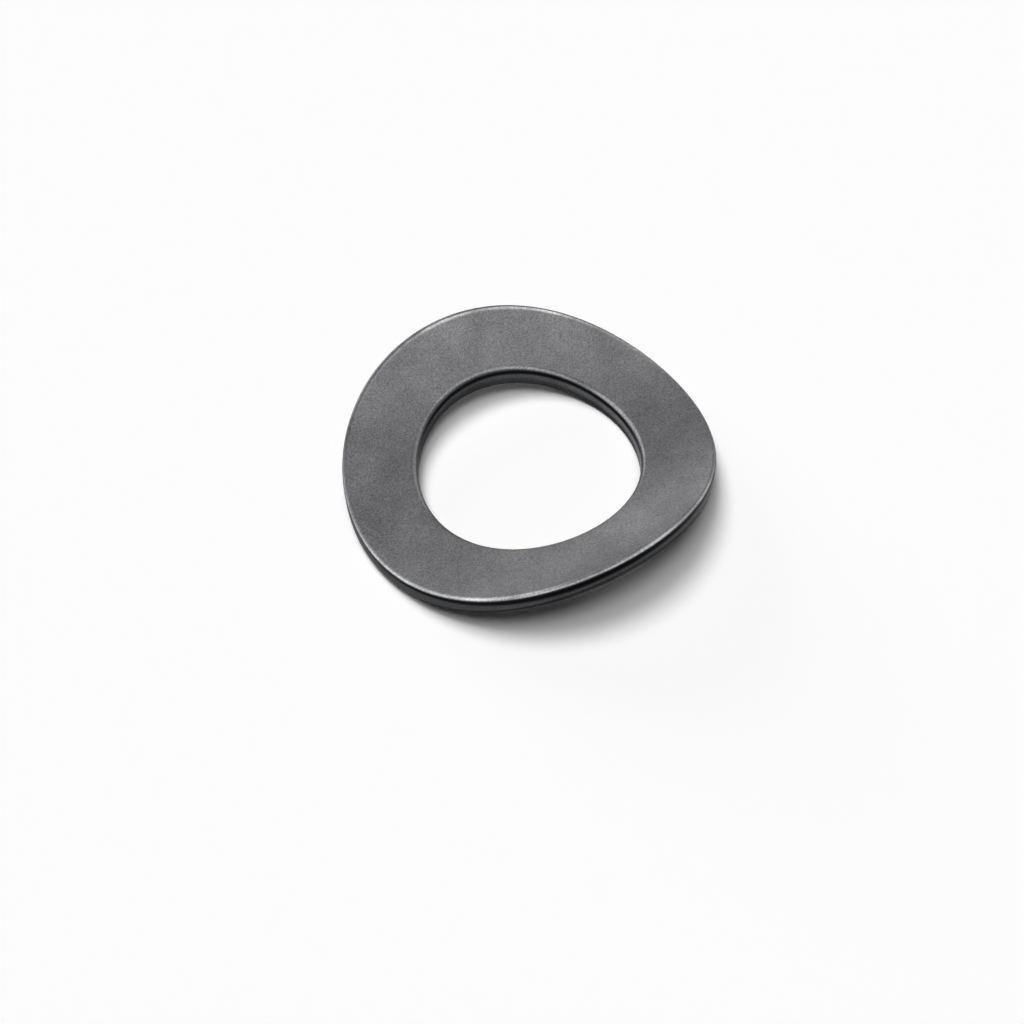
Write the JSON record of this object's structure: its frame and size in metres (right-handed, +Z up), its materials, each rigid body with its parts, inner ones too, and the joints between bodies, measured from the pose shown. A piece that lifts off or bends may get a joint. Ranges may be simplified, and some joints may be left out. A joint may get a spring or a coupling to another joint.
{
  "type": "curved spring washer",
  "caption": "Curved spring washer: a flat ring of spring steel strip, bent across its middle so that its sides stand up and press flat under a bolt head.",
  "frame": {"origin": "middle of the hole, on the surface that the washer lies on", "axes": "+Z up through the hole, towards the raised sides; +X along the valley of the bend, which is the line that the washer lies on; +Y across the valley, along which the ring is bent"},
  "size_m": [0.011, 0.0104, 0.0022],
  "materials": {
    "spring_steel": "phosphated dark grey, matte, tumbled edges"
  },
  "bodies": {
    "root": {"washer": "spring_steel"}
  },
  "joints": []
}
